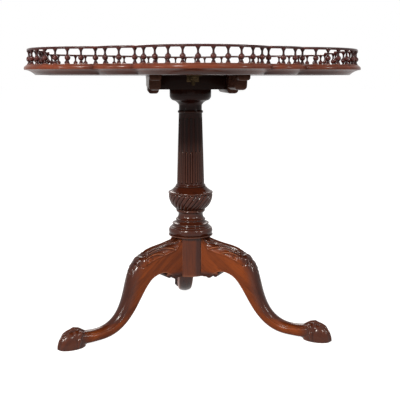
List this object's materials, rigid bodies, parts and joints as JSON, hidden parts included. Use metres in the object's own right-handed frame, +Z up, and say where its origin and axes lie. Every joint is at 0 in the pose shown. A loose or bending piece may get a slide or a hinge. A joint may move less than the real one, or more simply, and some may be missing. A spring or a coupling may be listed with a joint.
{
  "type": "tilt-top tea table",
  "caption": "Tilt-top tea table: lobed tray top with moulded edge and spindle gallery on a pivot block, fluted column and cabriole legs with claw-and-ball feet.",
  "frame": {"origin": "on the floor, under the column's axis", "axes": "+Z up, -Y to the front with the catch, +Y along the rear leg"},
  "size_m": [0.7918, 0.8604, 0.711],
  "materials": {
    "mahogany_top": "polished dark mahogany",
    "mahogany_gallery": "polished dark mahogany",
    "mahogany_stand": "polished dark mahogany",
    "mahogany_under": "dull dark mahogany",
    "brass": "aged brass"
  },
  "bodies": {
    "stand": {"column": "mahogany_stand", "tenon_wedge": "mahogany_under", "leg_rear": "mahogany_stand", "leg_front_left": "mahogany_stand", "leg_front_right": "mahogany_stand", "pivot_block": "mahogany_under", "pivot_pin_left": "mahogany_under", "pivot_pin_right": "mahogany_under", "strike_plate": "brass"},
    "top": {"top_board": "mahogany_top", "bearer_left": "mahogany_under", "bearer_right": "mahogany_under", "catch_case": "brass", "rail_lobe_1": "mahogany_gallery", "rail_lobe_2": "mahogany_gallery", "rail_lobe_3": "mahogany_gallery", "rail_lobe_4": "mahogany_gallery", "rail_lobe_5": "mahogany_gallery", "rail_lobe_6": "mahogany_gallery", "rail_small_1": "mahogany_gallery", "rail_small_2": "mahogany_gallery", "rail_small_3": "mahogany_gallery", "rail_small_4": "mahogany_gallery", "rail_small_5": "mahogany_gallery", "rail_small_6": "mahogany_gallery", "spindles_lobe_1": "mahogany_gallery", "spindles_lobe_2": "mahogany_gallery", "spindles_lobe_3": "mahogany_gallery", "spindles_lobe_4": "mahogany_gallery", "spindles_lobe_5": "mahogany_gallery", "spindles_lobe_6": "mahogany_gallery", "spindles_small_1": "mahogany_gallery", "spindles_small_2": "mahogany_gallery", "spindles_small_3": "mahogany_gallery", "spindles_small_4": "mahogany_gallery", "spindles_small_5": "mahogany_gallery", "spindles_small_6": "mahogany_gallery"},
    "catch": {"catch_bolt": "brass"}
  },
  "joints": [
    {"name": "top_tilt", "type": "hinge", "parent": "stand", "child": "top", "pos_m": [0, 0.0655, 0.6337], "axis": [-1, 0, 0], "range_deg": [0, 90]},
    {"name": "catch_slide", "type": "slide", "parent": "top", "child": "catch", "axis": [0, 1, 0], "range_m": [0, 0.008]}
  ]
}
